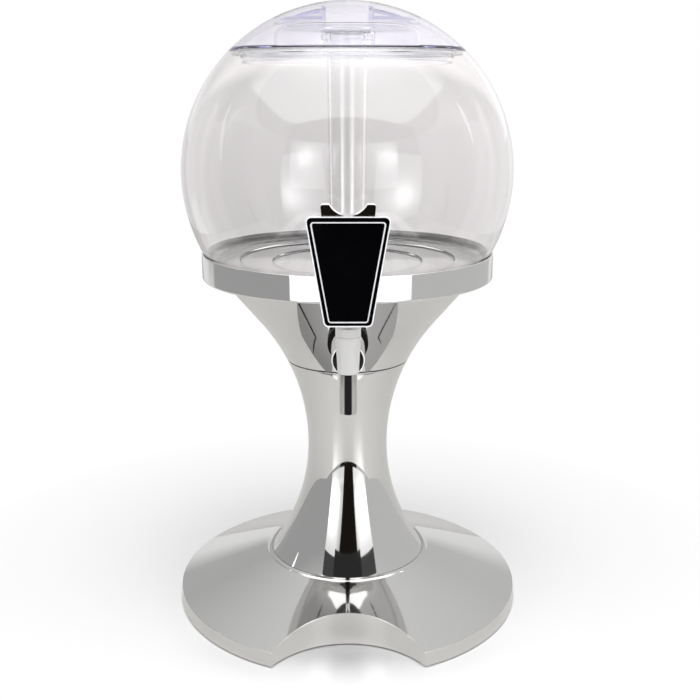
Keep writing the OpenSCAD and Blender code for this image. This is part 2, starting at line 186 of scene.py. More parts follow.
def bake_down(ob):
    """Replaces a mesh with what its modifiers make of it."""
    bpy.context.view_layer.update()
    dg = bpy.context.evaluated_depsgraph_get()
    me = bpy.data.meshes.new_from_object(ob.evaluated_get(dg), preserve_all_data_layers=True, depsgraph=dg)
    ob.modifiers.clear()
    old = ob.data
    ob.data = me
    bpy.data.meshes.remove(old)


def combine(ob, other, how):
    """Boolean of two closed meshes; other goes away."""
    m = ob.modifiers.new("b", "BOOLEAN")
    m.operation = how
    m.solver = "EXACT"
    m.object = other
    bake_down(ob)
    me = other.data
    bpy.data.objects.remove(other)
    bpy.data.meshes.remove(me)
    return ob


def tidy(ob, dist=0.002):
    bm = bmesh.new()
    bm.from_mesh(ob.data)
    bmesh.ops.remove_doubles(bm, verts=bm.verts, dist=dist * MM)
    bmesh.ops.dissolve_degenerate(bm, edges=bm.edges, dist=dist * MM)
    bmesh.ops.recalc_face_normals(bm, faces=bm.faces)
    bm.to_mesh(ob.data)
    bm.free()


def edge_round(ob, width, segments=3, angle=32, band=-1):
    m = ob.modifiers.new("round", "BEVEL")
    m.material = band
    m.width = width * MM
    m.segments = segments
    m.limit_method = "ANGLE"
    m.angle_limit = math.radians(angle)
    m.miter_outer = "MITER_ARC"
    m.harden_normals = False
    return m


def even_normals(ob):
    m = ob.modifiers.new("normals", "WEIGHTED_NORMAL")
    m.mode = "FACE_AREA"
    m.weight = 60
    m.keep_sharp = True
    return m


def add_modifier_order(ob, width, segments=3, angle=32, band=-1):
    edge_round(ob, width, segments, angle, band)
    even_normals(ob)


# ---------------------------------------------------------------- node helpers

class Tree:
    def __init__(self, name):
        self.mat = bpy.data.materials.new(name)
        self.mat.use_nodes = True
        self.nt = self.mat.node_tree
        self.nt.nodes.clear()
        self.out = self.nt.nodes.new("ShaderNodeOutputMaterial")

    def new(self, kind, **inputs):
        n = self.nt.nodes.new(kind)
        for k, v in inputs.items():
            key = k.replace("_", " ")
            self.put(n.inputs[key], v)
        return n

    def put(self, socket, v):
        if isinstance(v, bpy.types.NodeSocket):
            self.nt.links.new(v, socket)
        else:
            socket.default_value = v

    def coords(self, scale=1.0, stretch=(1, 1, 1)):
        t = self.nt.nodes.new("ShaderNodeTexCoord")
        m = self.nt.nodes.new("ShaderNodeMapping")
        self.nt.links.new(t.outputs["Object"], m.inputs["Vector"])
        m.inputs["Scale"].default_value = tuple(scale * s for s in stretch)
        return m.outputs["Vector"]

    def noise(self, scale, detail=3.0, rough=0.5, stretch=(1, 1, 1), distortion=0.0):
        n = self.nt.nodes.new("ShaderNodeTexNoise")
        self.nt.links.new(self.coords(1.0, stretch), n.inputs["Vector"])
        n.inputs["Scale"].default_value = scale
        n.inputs["Detail"].default_value = detail
        n.inputs["Roughness"].default_value = rough
        n.inputs["Distortion"].default_value = distortion
        return n.outputs["Fac"]

    def remap(self, v, a, b, lo, hi, clamp=True):
        n = self.nt.nodes.new("ShaderNodeMapRange")
        n.clamp = clamp
        self.nt.links.new(v, n.inputs["Value"])
        n.inputs["From Min"].default_value = a
        n.inputs["From Max"].default_value = b
        n.inputs["To Min"].default_value = lo
        n.inputs["To Max"].default_value = hi
        return n.outputs["Result"]

    def ramp(self, v, stops):
        n = self.nt.nodes.new("ShaderNodeValToRGB")
        self.nt.links.new(v, n.inputs["Fac"])
        el = n.color_ramp.elements
        while len(el) < len(stops):
            el.new(0.5)
        for e, (p, c) in zip(el, stops):
            e.position = p
            e.color = (*c, 1.0)
        return n.outputs["Color"]

    def math(self, op, a, b=0.0, c=0.0, clamp=False):
        n = self.nt.nodes.new("ShaderNodeMath")
        n.operation = op
        n.use_clamp = clamp
        for s, v in zip(n.inputs, (a, b, c)):
            self.put(s, v)
        return n.outputs[0]

    def bump(self, height, strength, distance, normal=None):
        n = self.nt.nodes.new("ShaderNodeBump")
        n.inputs["Strength"].default_value = strength
        n.inputs["Distance"].default_value = distance
        self.nt.links.new(height, n.inputs["Height"])
        if normal is not None:
            self.nt.links.new(normal, n.inputs["Normal"])
        return n.outputs["Normal"]

    def finish(self, shader, volume=None):
        self.nt.links.new(shader, self.out.inputs["Surface"])
        if volume is not None:
            self.nt.links.new(volume, self.out.inputs["Volume"])
        return self.mat


def principled(t, **kw):
    p = t.nt.nodes.new("ShaderNodeBsdfPrincipled")
    for k, v in kw.items():
        t.put(p.inputs[k.replace("_", " ")], v)
    return p


def chrome(name, tone=(0.74, 0.735, 0.73), rough=0.035, wave=0.25, smudge=0.05):
    """Chrome plating on moulded plastic: a mirror with a faint waviness, light handling marks and fine wipe lines."""
    t = Tree(name)
    marks = t.noise(28.0, 4.0, 0.62)
    fine = t.noise(900.0, 2.0, 0.6, stretch=(1, 1, 0.12))
    r = t.math("ADD", t.remap(marks, 0.52, 0.78, rough, rough + smudge), t.remap(fine, 0.45, 0.9, 0.0, 0.012))
    lo = tuple(c * 0.965 for c in tone)
    col = t.ramp(t.noise(9.0, 3.0, 0.55), [(0.35, lo), (0.7, tone)])
    slow = t.noise(14.0, 1.0, 0.4)
    n = t.bump(slow, wave, 0.00035)
    p = principled(t, Base_Color=col, Metallic=1.0, Roughness=r, Normal=n)
    return t.finish(p.outputs[0])


def satin_metal(name, tone, rough=0.3, lines=(1, 1, 0.05), bump=0.08):
    t = Tree(name)
    grain = t.noise(1600.0, 2.0, 0.6, stretch=lines)
    col = t.ramp(t.noise(60.0, 3.0, 0.6), [(0.3, tuple(c * 0.93 for c in tone)), (0.75, tone)])
    r = t.remap(grain, 0.3, 0.75, rough - 0.05, rough + 0.07)
    p = principled(t, Base_Color=col, Metallic=1.0, Roughness=r, Normal=t.bump(grain, bump, 0.0001))
    return t.finish(p.outputs[0])


def plastic(name, tone, rough=0.45, grain=1200.0, bump=0.15, spread=0.12, shine=0.5):
    """Moulded plastic with a fine spark-eroded grain."""
    t = Tree(name)
    g = t.noise(grain, 2.0, 0.65)
    col = t.ramp(t.noise(35.0, 4.0, 0.6), [(0.3, tuple(c * (1 - spread) for c in tone)), (0.75, tone)])
    p = principled(
        t, Base_Color=col, Roughness=t.remap(t.noise(90.0, 3.0, 0.6), 0.3, 0.75, rough - 0.06, rough + 0.08),
        Normal=t.bump(g, bump, 0.00012),
    )
    p.inputs["Specular IOR Level"].default_value = shine
    return t.finish(p.outputs[0])


def clear(name, tint, density, absorb, rough=0.012, smudge=0.03, haze=0.0, ior=1.49, wave=0.06):
    """Clear moulded plastic: bends light, takes a little of it, and carries faint smudges. Lamps shine through it."""
    t = Tree(name)
    marks = t.noise(16.0, 5.0, 0.66, distortion=0.4)
    r = t.remap(marks, 0.56, 0.8, rough, rough + smudge)
    slow = t.noise(11.0, 1.0, 0.4)
    p = principled(
        t, Base_Color=(*tint, 1.0), Roughness=r, IOR=ior, Transmission_Weight=1.0, Normal=t.bump(slow, wave, 0.0004),
    )
    path = t.nt.nodes.new("ShaderNodeLightPath")
    thru = t.nt.nodes.new("ShaderNodeBsdfTransparent")
    thru.inputs["Color"].default_value = (*[0.93 * c for c in tint], 1.0)
    mix = t.nt.nodes.new("ShaderNodeMixShader")
    t.nt.links.new(path.outputs["Is Shadow Ray"], mix.inputs[0])
    t.nt.links.new(p.outputs[0], mix.inputs[1])
    t.nt.links.new(thru.outputs[0], mix.inputs[2])
    vol = None
    if density > 0:
        v = t.nt.nodes.new("ShaderNodeVolumeAbsorption")
        v.inputs["Color"].default_value = (*absorb, 1.0)
        v.inputs["Density"].default_value = density
        vol = v.outputs[0]
    return t.finish(mix.outputs[0], vol)


def put_on(ob, *mats):
    ob.data.materials.clear()
    for m in mats:
        ob.data.materials.append(m)


mirror = chrome("plated_chrome")
mirror_base = chrome("plated_chrome_base", tone=(0.735, 0.73, 0.725), rough=0.05, wave=0.2, smudge=0.05)
mirror_small = chrome("plated_chrome_small", tone=(0.78, 0.775, 0.77), rough=0.03, wave=0.05, smudge=0.04)
spout_metal = chrome("spout_plating", tone=(0.56, 0.555, 0.55), rough=0.05, wave=0.05, smudge=0.04)
satin = plastic("satin_finish", (0.60, 0.595, 0.585), rough=0.42, grain=1600.0, bump=0.03, spread=0.03)
# painted highlight: a near-white plastic laid on thin edges of the chrome tap parts in place of the chrome's bright
# edge highlights
painted_edge_highlight = plastic("painted_edge_highlight", (0.90, 0.90, 0.91), rough=0.30, grain=1500.0, bump=0.02, spread=0.02)
# painted shade: a dark satin metal that stands in for the dark reflection on the collar ring's inner wall, in place of
# its chrome
ring_inside_painted_shade = satin_metal("ring_inside_painted_shade", (0.17, 0.168, 0.16), rough=0.30, lines=(1, 1, 1), bump=0.02)
steel = satin_metal("drawn_steel", (0.62, 0.62, 0.63), rough=0.28)
zinc = satin_metal("zinc_plate", (0.56, 0.57, 0.60), rough=0.36, lines=(1, 1, 1))
tank_clear = clear("clear_plastic", (0.994, 0.992, 0.992), 4.0, (0.80, 0.79, 0.79))
tube_clear = clear("tube_plastic", (0.985, 0.985, 0.985), 6.0, (0.80, 0.79, 0.79), rough=0.06, smudge=0.06)
lid_clear = clear("lid_plastic", (0.985, 0.985, 1.0), 14.0, (0.40, 0.42, 0.90), rough=0.02, smudge=0.03)
skirt_clear = clear("lid_skirt_plastic", (0.99, 0.99, 1.0), 1.5, (0.70, 0.72, 0.95), rough=0.02, smudge=0.03, ior=1.10)
lid_inner = clear("lid_inner_plastic", (0.985, 0.985, 1.0), 8.0, (0.50, 0.52, 0.92), rough=0.02, smudge=0.03, ior=1.20)
silicone = plastic("silicone", (0.80, 0.81, 0.82), rough=0.5, grain=700.0, bump=0.05, spread=0.05)
rubber = plastic("black_rubber", (0.006, 0.006, 0.006), rough=0.6, grain=900.0, bump=0.12, spread=0.3, shine=0.2)
black = plastic("black_moulded", (0.02, 0.02, 0.021), rough=0.42, grain=1500.0, bump=0.2, spread=0.25)
white = plastic("white_moulded", (0.80, 0.80, 0.78), rough=0.4, grain=1100.0, bump=0.1, spread=0.04)


def seat_silver():
    """Silver-painted plate, with painted shade that makes it duller and darker towards its rim."""
    t = Tree("seat_silver")
    tc = t.nt.nodes.new("ShaderNodeTexCoord")
    flat = t.nt.nodes.new("ShaderNodeVectorMath")
    flat.operation = "MULTIPLY"
    t.nt.links.new(tc.outputs["Object"], flat.inputs[0])
    flat.inputs[1].default_value = (1, 1, 0)
    length = t.nt.nodes.new("ShaderNodeVectorMath")
    length.operation = "LENGTH"
    t.nt.links.new(flat.outputs["Vector"], length.inputs[0])
    painted_shade_reach = t.math("ADD", length.outputs["Value"], t.remap(t.noise(45.0, 4.0, 0.6), 0.3, 0.7, -0.006, 0.006))
    # painted shade: the colour falls from grey at the middle to near black at the rim
    col = t.ramp(t.remap(painted_shade_reach, 0.02, 0.095, 0.0, 1.0), [
        (0.0, (0.195, 0.19, 0.178)), (0.42, (0.115, 0.112, 0.102)), (0.62, (0.062, 0.060, 0.053)), (0.80, (0.032, 0.031, 0.027)), (1.0, (0.018, 0.017, 0.015))])
    grain = t.noise(1500.0, 2.0, 0.6)
    p = principled(t, Base_Color=col, Metallic=1.0, Roughness=t.remap(grain, 0.3, 0.75, 0.28, 0.40), Normal=t.bump(grain, 0.02, 0.0001))
    return t.finish(p.outputs[0])


seat_mat = seat_silver()


def label_black():
    t = Tree("label_gloss")
    g = t.noise(1300.0, 2.0, 0.6)
    col = t.ramp(t.noise(50.0, 3.0, 0.6), [(0.3, (0.0010, 0.0010, 0.0016)), (0.8, (0.0020, 0.0020, 0.0030))])
    p = principled(
        t, Base_Color=col, Roughness=t.remap(t.noise(40.0, 4.0, 0.6), 0.4, 0.8, 0.10, 0.18),
        Normal=t.bump(g, 0.02, 0.00005),
    )
    p.inputs["Specular IOR Level"].default_value = 0.06
    return t.finish(p.outputs[0])


label_mat = label_black()

for n, m in {
    "base_cover": black, "rubber_feet": rubber, "cover_screws": zinc, "column_screws": zinc, "funnel_screws": zinc,
    "seat_screws": zinc, "manifold_screws": zinc, "outlet_manifold": white, "outlet_oring": rubber,
    "lid_seal": silicone, "ice_tube_seal": silicone, "tap_gasket": rubber,
    "tap_lock_nut": black, "shank_seal": silicone, "stem_seal": silicone, "valve_stem": steel,
    "valve_seal": silicone, "return_spring": steel, "pivot_pin": steel,
}.items():
    put_on(node[n], m)


# ---------------------------------------------------------------- pedestal

NECK_R, NECK_Z = 27.7, 113.0
FOOT_R, FLARE_R, FLARE_A = 132.0, 139.0, 40.0
LAND_Z, EDGE_Z, EDGE_R, BASE_R, LAND_R = 33.5, 10.4, 119.9, 120.6, 54.9
CONE_K = (LAND_Z - EDGE_Z) / (EDGE_R - LAND_R)
SEAM_Z, FUNNEL_TOP = 174.4, 232.0
NOTCH_R, NOTCH_Y = 57.2, 140.5


def cone_z(r):
    return EDGE_Z + (EDGE_R - r) * CONE_K


def foot_arc(off, z0, z1, n):
    a0 = math.degrees(math.asin((NECK_Z - z0) / (FOOT_R + off)))
    a1 = math.degrees(math.asin((NECK_Z - z1) / (FOOT_R + off)))
    return [(NECK_R + FOOT_R - x, NECK_Z - z) for x, z in arc(0, 0, FOOT_R + off, a0, a1, n)]


def flare_arc(off, z0, z1, n):
    a0 = math.degrees(math.asin((z0 - NECK_Z) / (FLARE_R + off)))
    a1 = math.degrees(math.asin((z1 - NECK_Z) / (FLARE_R + off)))
    return [(NECK_R + FLARE_R - x, NECK_Z + z) for x, z in arc(0, 0, FLARE_R + off, a0, a1, n)]


def flare_end(off):
    a = math.radians(FLARE_A)
    return NECK_R + FLARE_R - (FLARE_R + off) * math.cos(a), NECK_Z + (FLARE_R + off) * math.sin(a)


# column: the outside, a rounded top edge, the collar that the funnel sits on, the inside
outer = foot_arc(0, LAND_Z + 0.45, NECK_Z, 56) + flare_arc(0, NECK_Z, SEAM_Z - 1.0, 44)[1:]
top_r = flare_arc(0, SEAM_Z, SEAM_Z, 1)[0][0]
inner = flare_arc(3, 168.5, NECK_Z, 20) + foot_arc(3, NECK_Z, LAND_Z + 0.1, 20)[1:]
column = lathe("column_shell", soften(
    outer + [(top_r, SEAM_Z - 0.25, 0.55), (38.0, SEAM_Z - 0.25), (38.0, 177.0, 0.4), (20.0, 177.0, 0.3), (20.0, 168.5), (36.0, 168.5)]
    + inner + [(53.6, LAND_Z + 0.08), (54.2, LAND_Z + 0.18)], n=5), seg=360)
put_on(column, mirror, black)
# painted shade: the column's faces inside the seam under the funnel take black, so the gap reads dark
for p in column.data.polygons:
    c = p.center / MM
    if c.xy.length < 39.9 and SEAM_Z - 0.4 < c.z < 176.4:
        p.material_index = 1
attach(column, "pedestal")
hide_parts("column")

# funnel
fr, fz = flare_end(0)
ir, iz = flare_end(3)
bottom_r = flare_arc(0, SEAM_Z + 0.45, SEAM_Z + 0.45, 1)[0][0]
slope = math.tan(math.radians(FLARE_A))
up = flare_arc(0, SEAM_Z + 1.0, fz, 30)
straight = [(fr + slope * h, fz + h) for h in (2.0, 8.0, 15.0, 22.0, 28.0)]
down = [(ir + slope * (228.4 - iz), 228.4), (ir, iz)] + flare_arc(3, iz, 180.4, 16)[1:]
funnel = lathe("funnel_shell", soften(
    [(38.9, SEAM_Z + 0.45), (bottom_r, SEAM_Z + 0.45, 0.4)] + up + straight
    + [(fr + slope * (FUNNEL_TOP - fz), FUNNEL_TOP, 0.5), (68.0, FUNNEL_TOP, 0.4), (68.0, 228.4, 0.4)] + down
    + [(20.0, 180.4), (20.0, 177.2), (40.0, 177.2)], n=5), seg=360)
put_on(funnel, mirror, black)
# painted shade: the funnel's faces inside the seam above the column take black, so the gap reads dark
for p in funnel.data.polygons:
    c = p.center / MM
    if c.xy.length < 39.95 and c.z < SEAM_Z + 2.0:
        p.material_index = 1
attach(funnel, "pedestal")
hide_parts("funnel")

# collar ring
collar = lathe("collar_band", soften([
    (70.0, 232.1, 0.4), (97.4, 232.1, 1.2), (97.4, 248.8, 0.45), (96.4, 248.8, 0.3), (95.0, 246.4, 0.5),
    (95.0, 234.6, 0.3), (70.0, 234.6, 0.4)], n=5), seg=360)
put_on(collar, mirror, ring_inside_painted_shade)
# painted shade: the ring's inner faces take the dark satin metal
for p in collar.data.polygons:
    c = p.center
    if c.z > 0.2343 and c.xy.length < 0.0958:
        p.material_index = 1
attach(collar, "pedestal")
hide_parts("collar_ring")


def base_shell():
    """The base plate: a shallow cone with two arc notches and a rounded rim, hollow below."""
    inner_r, inner_notch = BASE_R - 3.0, NOTCH_R + 3.0

    def corner(r, notch):
        return math.degrees(math.acos((NOTCH_Y**2 + r**2 - notch**2) / (2 * NOTCH_Y * r)))

    def steps(n_notch, n_side, power=1.35):
        """(zone, share) round a quarter turn from a notch's middle to the side."""
        a = [("n", 1 - (1 - i / n_notch) ** power) for i in range(n_notch)]
        b = [("s", (i / n_side) ** power) for i in range(n_side + 1)]
        return a + b

    quarter = steps(34, 60)

    def ring(r, notch, dz=None, use_top=False, z=None):
        """Points all round at the limit of the disc of radius r and the notches of that radius."""
        c = corner(r, notch)
        half = []
        for zone, share in quarter:
            d = share * c if zone == "n" else c + share * (90 - c)
            if zone == "n":
                a = math.radians(d)
                rr = NOTCH_Y * math.cos(a) - math.sqrt(max(0.0, notch**2 - (NOTCH_Y * math.sin(a)) ** 2))
            else:
                rr = r
            half.append((d, rr))
        out = []
        for d, rr in half:                      # front notch's middle to +X
            out.append((-90 + d, rr))
        for d, rr in reversed(half[:-1]):       # +X to the back notch's middle
            out.append((90 - d, rr))
        for d, rr in half[1:]:                  # on to -X
            out.append((90 + d, rr))
        for d, rr in reversed(half[1:-1]):      # and back to the front
            out.append((270 - d, rr))
        return out

    edge = ring(EDGE_R, NOTCH_R)
    foot = ring(BASE_R, NOTCH_R)
    foot_in = ring(inner_r, inner_notch)
    n = len(edge)
    loops = []

    def circle(r, z):
        loops.append([(math.radians(a), r, z) for a, _ in edge])

    circle(27.6, LAND_Z - 4.1)
    circle(27.6, LAND_Z - 0.4)
    circle(28.0, LAND_Z)
    circle(LAND_R - 0.5, LAND_Z)
    circle(LAND_R, LAND_Z)
    # the bead round the column's foot
    z0 = cone_z(LAND_R) + 0.6
    circle(LAND_R + 0.12, z0 - 0.15)
    circle(LAND_R + 0.4, z0)
    circle(56.6, cone_z(56.6) + 0.62)
    circle(57.2, cone_z(57.2) + 0.52)
    circle(57.6, cone_z(57.6) + 0.16)
    circle(58.0, cone_z(58.0))
    for s in (0.05, 0.15, 0.3, 0.45, 0.6, 0.75, 0.88, 0.97):
        loops.append([(math.radians(a), 58 + s * (rr - 58), cone_z(58 + s * (rr - 58))) for a, rr in edge])
    loops.append([(math.radians(a), rr, cone_z(rr)) for a, rr in edge])
    for s in (0.35, 0.7, 1.0):
        lp = []
        for (a0, r0), (a1, r1) in zip(edge, foot):
            za = cone_z(r0)
            lp.append((math.radians(a0 + (a1 - a0) * s), r0 + (r1 - r0) * s, za + (1.0 - za) * s))
        loops.append(lp)
    loops.append([(math.radians(a), rr, 1.0) for a, rr in foot_in])
    loops.append([(math.radians(a), rr, 4.4) for a, rr in foot_in])
    loops.append([(math.radians(a), rr - 0.3, min(8.2, 29.4 - (rr - 57) * 0.353)) for a, rr in foot_in])
    circle(57.0, LAND_Z - 4.1)
    verts, faces = [], []
    for lp in loops:
        verts += [(r * math.cos(a), r * math.sin(a), z) for a, r, z in lp]
    m = len(loops)
    for i in range(m):
        for k in range(n):
            a, b = i * n, ((i + 1) % m) * n
            faces.append((a + k, a + (k + 1) % n, b + (k + 1) % n, b + k))
    ob = make("base_shell", verts, faces, sharp=28)
    return ob


base = base_shell()
add_modifier_order(base, 0.55, 3, 24)
put_on(base, mirror_base)
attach(base, "pedestal")
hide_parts("base_plate")

# seat plate under the ball, with its concentric grooves
seat_outline = [(12.3, 231.8, 0.3), (26.0, 231.8, 0.4), (26.0, 234.8), (94.4, 234.8, 0.4), (94.4, 238.0, 0.4)]
for g0, g1 in ((85.0, 86.6), (71.0, 72.6), (49.9, 51.5)):
    seat_outline += [(g1, 238.0, 0.15), (g1, 237.3, 0.15), (g0, 237.3, 0.15), (g0, 238.0, 0.15)]
seat_outline += [(12.3, 238.0, 0.3)]
seat = lathe("seat_disc", soften(seat_outline, n=3), seg=240)
put_on(seat, seat_mat)
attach(seat, "pedestal")
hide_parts("seat_plate")

# ---------------------------------------------------------------- tank

BALL_R, BALL_Z, RIM_Z, FLOOR_Z = 108.6, 299.8, 377.5, 238.15


def ball_arc(r, z0, z1, n):
    a0 = math.degrees(math.asin((z0 - BALL_Z) / r))
    a1 = math.degrees(math.asin((z1 - BALL_Z) / r))
    return [(x, BALL_Z + z) for x, z in arc(0, 0, r, a0, a1, n)]


F = FLOOR_Z
outside = ball_arc(BALL_R, F + 0.9, RIM_Z - 0.5, 84)
foot_r = math.sqrt(BALL_R**2 - (BALL_Z - F) ** 2)
rim_r = math.sqrt(BALL_R**2 - (RIM_Z - BALL_Z) ** 2)
ri = BALL_R - 2.6
lip_r = math.sqrt(ri**2 - (RIM_Z - 1.3 - BALL_Z) ** 2)
inside = ball_arc(ri, RIM_Z - 2.2, F + 7.6, 80)
tank = lathe("tank_ball", soften(
    [(foot_r, F, 0.8)] + outside + [(rim_r, RIM_Z, 0.4), (69.6, RIM_Z, 0.4), (69.6, RIM_Z - 1.3, 0.4), (lip_r, RIM_Z - 1.3, 0.4)]
    + inside + [
        (86.2, F + 6.5, 1.2), (84.0, F + 6.1), (72.4, F + 5.8, 0.4), (71.8, F + 4.6, 0.4), (50.6, F + 4.2, 0.4),
        (50.0, F + 3.0, 0.4), (7.0, F + 2.4, 0.8), (7.0, F - 21.0, 0.4), (10.0, F - 21.0, 0.6), (10.0, F - 18.2, 0.2),
        (8.7, F - 18.2, 0.2), (8.7, F - 15.4, 0.2), (10.0, F - 15.4, 0.2), (10.0, F, 0.6)], n=4), seg=320)
put_on(tank, tank_clear)
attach(tank, "tank")
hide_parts("tank")

# ---------------------------------------------------------------- lid

Z0 = RIM_Z + 0.2
DOME_WALL = 2.5


def ball_x(r, z):
    return math.sqrt(r**2 - (z - BALL_Z) ** 2)


rp = BALL_R - DOME_WALL - 0.1
plate = lathe("lid_floor", soften(
    [(ball_x(rp, Z0), Z0, 0.1), (ball_x(rp, Z0 + 0.6), Z0 + 0.6, 0.1), (52.0, Z0 + 0.6), (49.0, Z0 + 1.9, 0.3), (47.05, Z0 + 1.9, 0.2),
     (47.05, Z0, 0.2)], n=3), seg=300)
skirt = lathe("lid_rim_skirt", soften(
    [(65.6, 370.0, 0.4), (67.5, 370.0, 0.4), (67.5, 373.2, 0.2), (68.5, 373.2, 0.2), (68.5, 374.1, 0.2), (67.5, 374.1, 0.2),
     (67.5, 377.64, 0.2), (65.6, 377.64, 0.2)], n=3), seg=300)
cup = lathe("lid_cup", soften(
    [(46.2, Z0, 0.2), (47.0, Z0, 0.2)] + arc(41, 386, 6, 0, 90, 14) + [(0.0, 392.0), (0.0, 391.2)] + arc(41, 386, 5.2, 90, 0, 12),
    n=3), seg=300)
socket = lathe("lid_socket", soften(
    [(13.9, 380.0, 0.3), (18.0, 380.0, 0.3), (18.0, 389.94, 0.2), (15.6, 389.94, 0.2), (15.6, 384.2, 0.2), (13.9, 384.2, 0.3)],
    n=3), seg=180)
for a in (60, 240):
    w = math.degrees(math.asin(4.8 / 15.9))
    pts = [(12.9, 4.8), (12.9, -4.8)] + arc(0, 0, 15.9, -w, w, 12)
    cut = upright("cut", pts, 378.5, 384.9, Matrix.Rotation(math.radians(a), 4, "Z"))
    combine(socket, cut, "DIFFERENCE")
tidy(socket)
for ob, nd, mat in ((plate, "lid_plate", lid_inner), (skirt, "lid_skirt", skirt_clear), (cup, "tube_cup", lid_inner), (socket, "tube_socket", skirt_clear)):
    smooth(ob, 34)
    even_normals(ob)
    put_on(ob, mat)
    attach(ob, "lid")
    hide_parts(nd)

DZ = RIM_Z + 0.2
dome_out = ball_arc(BALL_R, DZ + 0.4, BALL_Z + BALL_R, 70)
dome_out[-1] = (0.0, BALL_Z + BALL_R)
rd = BALL_R - DOME_WALL
dome_in = ball_arc(rd, BALL_Z + rd, DZ + 0.4, 64)
dome_in[0] = (0.0, BALL_Z + rd)
e0 = math.sqrt(BALL_R**2 - (DZ - BALL_Z) ** 2)
e1 = math.sqrt(rd**2 - (DZ - BALL_Z) ** 2)
dome = lathe("lid_cap", soften([(e0, DZ, 0.3)] + dome_out + dome_in + [(e1, DZ, 0.3)], n=3), seg=320)
GRIP, POCKET, POCKET_Z = 31.4 / 2, 13.0, 397.6
for s in (1, -1):
    # the pocket's tray: its own outside is the ball's
    solid = lathe("solid", [(0.0, POCKET_Z - 12)] + [(math.sqrt(BALL_R**2 - (POCKET_Z - 12 - BALL_Z) ** 2), POCKET_Z - 12)]
                  + ball_arc(BALL_R - 0.02, POCKET_Z - 11.9, BALL_Z + BALL_R - 0.02, 40)[1:-1] + [(0.0, BALL_Z + BALL_R - 0.02)], seg=320)
    walls = upright("walls", [(s * x, y) for x, y in soften([
        (GRIP - 2.2, -POCKET - 2.2, 0.8), (75, -POCKET - 2.2), (75, POCKET + 2.2), (GRIP - 2.2, POCKET + 2.2, 0.8)], n=3, guard=False)],
        POCKET_Z - 2.3, 420)
    combine(solid, walls, "INTERSECT")
    combine(dome, solid, "UNION")
    hollow = upright("hollow", [(s * x, y) for x, y in soften([
        (GRIP, -POCKET, 1.2), (75, -POCKET), (75, POCKET), (GRIP, POCKET, 1.2)], n=4, guard=False)], POCKET_Z, 420)
    combine(dome, hollow, "DIFFERENCE")
tidy(dome)
smooth(dome, 34)
even_normals(dome)
put_on(dome, lid_clear)
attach(dome, "lid")
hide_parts("lid_dome")

# ---------------------------------------------------------------- ice tube

TC = 254.0 + 12.0
k = (13.2 - 12.0) / (388.6 - TC)
tube = lathe("ice_core_tube", soften(
    [(0.0, TC - 12.0)] + arc(0, TC, 12.0, -84, 0, 16) + [(12.0 + 60 * k, TC + 60), (13.2, 388.6, 0.6), (11.4, 388.6, 0.6), (10.2 + 60 * k, TC + 60)]
    + arc(0, TC, 10.2, 0, -84, 14) + [(0.0, TC - 10.2)], n=4), seg=180)
lugs = []
for s in (1, -1):
    pts = [(s * (12.4 + 2.9 * t), y, z) for t in (0, 1) for y in (-4, 4) for z in (384.6, 387.4)]
    lug = make("lug", pts, [(0, 1, 3, 2), (4, 6, 7, 5), (0, 4, 5, 1), (2, 3, 7, 6), (0, 2, 6, 4), (1, 5, 7, 3)])
    combine(tube, lug, "UNION")
tidy(tube)
smooth(tube, 34)
even_normals(tube)
put_on(tube, tube_clear)
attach(tube, "ice_tube")
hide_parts("ice_tube")

# ---------------------------------------------------------------- tap

TAP_Y, SHANK_Z, PIVOT_Z = -118.0, 202.5, 229.65
at_tap = Matrix.Translation((0, TAP_Y, 0))
forward = Matrix.Translation((0, 0, SHANK_Z)) @ Matrix.Rotation(math.radians(90), 4, "X")

bell = lathe("tap_bell", soften([
    (0.0, 29.2), (7.0, 29.2, 0.5), (7.0, 80.8, 0.3), (10.6, 80.8, 0.9), (9.7, 107.0), (9.7, 111.35, 0.25), (9.05, 112.0, 0.25),
    (5.4, 112.0), (5.4, 118.0), (0.0, 118.0)], n=4), seg=144, turn=forward)
barrel = lathe("tap_barrel", soften([
    (5.06, 197.0, 0.3), (6.15, 197.0, 0.5), (7.3, 219.0, 0.25), (5.0, 219.0, 0.2), (5.0, 199.6), (0.0, 199.6), (0.0, 198.6), (5.06, 198.6)],
    n=4), seg=144, turn=at_tap)
put_on(bell, mirror_small, satin, painted_edge_highlight)
put_on(barrel, mirror_small, satin, painted_edge_highlight)
# painted highlight: the rounded outer edge of the bell's front face takes the near-white edge material
for p in bell.data.polygons:
    c = p.center / MM
    if -112.0 < c.y < -111.2 and math.hypot(c.x, c.z - SHANK_Z) > 9.0:
        p.material_index = 2
for p in barrel.data.polygons:
    p.material_index = 1
bore = lathe("bore", [(0.0, 190.0), (3.6, 190.0), (3.6, 199.7), (4.97, 199.7), (4.97, 218.9), (0.0, 218.9)], seg=72, turn=at_tap)
combine(bell, bore, "DIFFERENCE")
hole = lathe("hole", [(0.0, 28.0), (2.8, 28.0), (2.8, 117.5), (0.0, 117.5)], seg=48, turn=forward)
combine(bell, hole, "DIFFERENCE")
hole = lathe("hole", [(0.0, 100.0), (2.8, 100.0), (2.8, 116.0), (0.0, 116.0)], seg=48, turn=forward)
combine(barrel, hole, "DIFFERENCE")
tapped = combine(bell, barrel, "UNION")
tidy(tapped)
smooth(tapped, 34)
even_normals(tapped)
tapped.name = "tap_casting"
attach(tapped, "pedestal")
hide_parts("tap_body")

spout = lathe("tap_spout", soften([
    (3.6, 172.5, 0.35), (5.03, 172.5, 0.45), (5.03, 198.55, 0.2), (3.6, 198.55, 0.2)], n=4), seg=120, turn=at_tap)
put_on(spout, spout_metal)
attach(spout, "pedestal")
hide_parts("nozzle")

cap = lathe("tap_bonnet", soften([
    (3.6, 208.6), (4.95, 208.6, 0.2), (4.95, 219.05), (7.3, 219.05, 0.25), (7.3, 224.35, 0.7), (1.68, 224.35, 0.2), (1.68, 221.6),
    (3.6, 221.6)], n=4), seg=120, turn=at_tap)
put_on(cap, satin)
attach(cap, "pedestal")
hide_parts("bonnet")


TOP_W, END_W = 46.2, 27.6


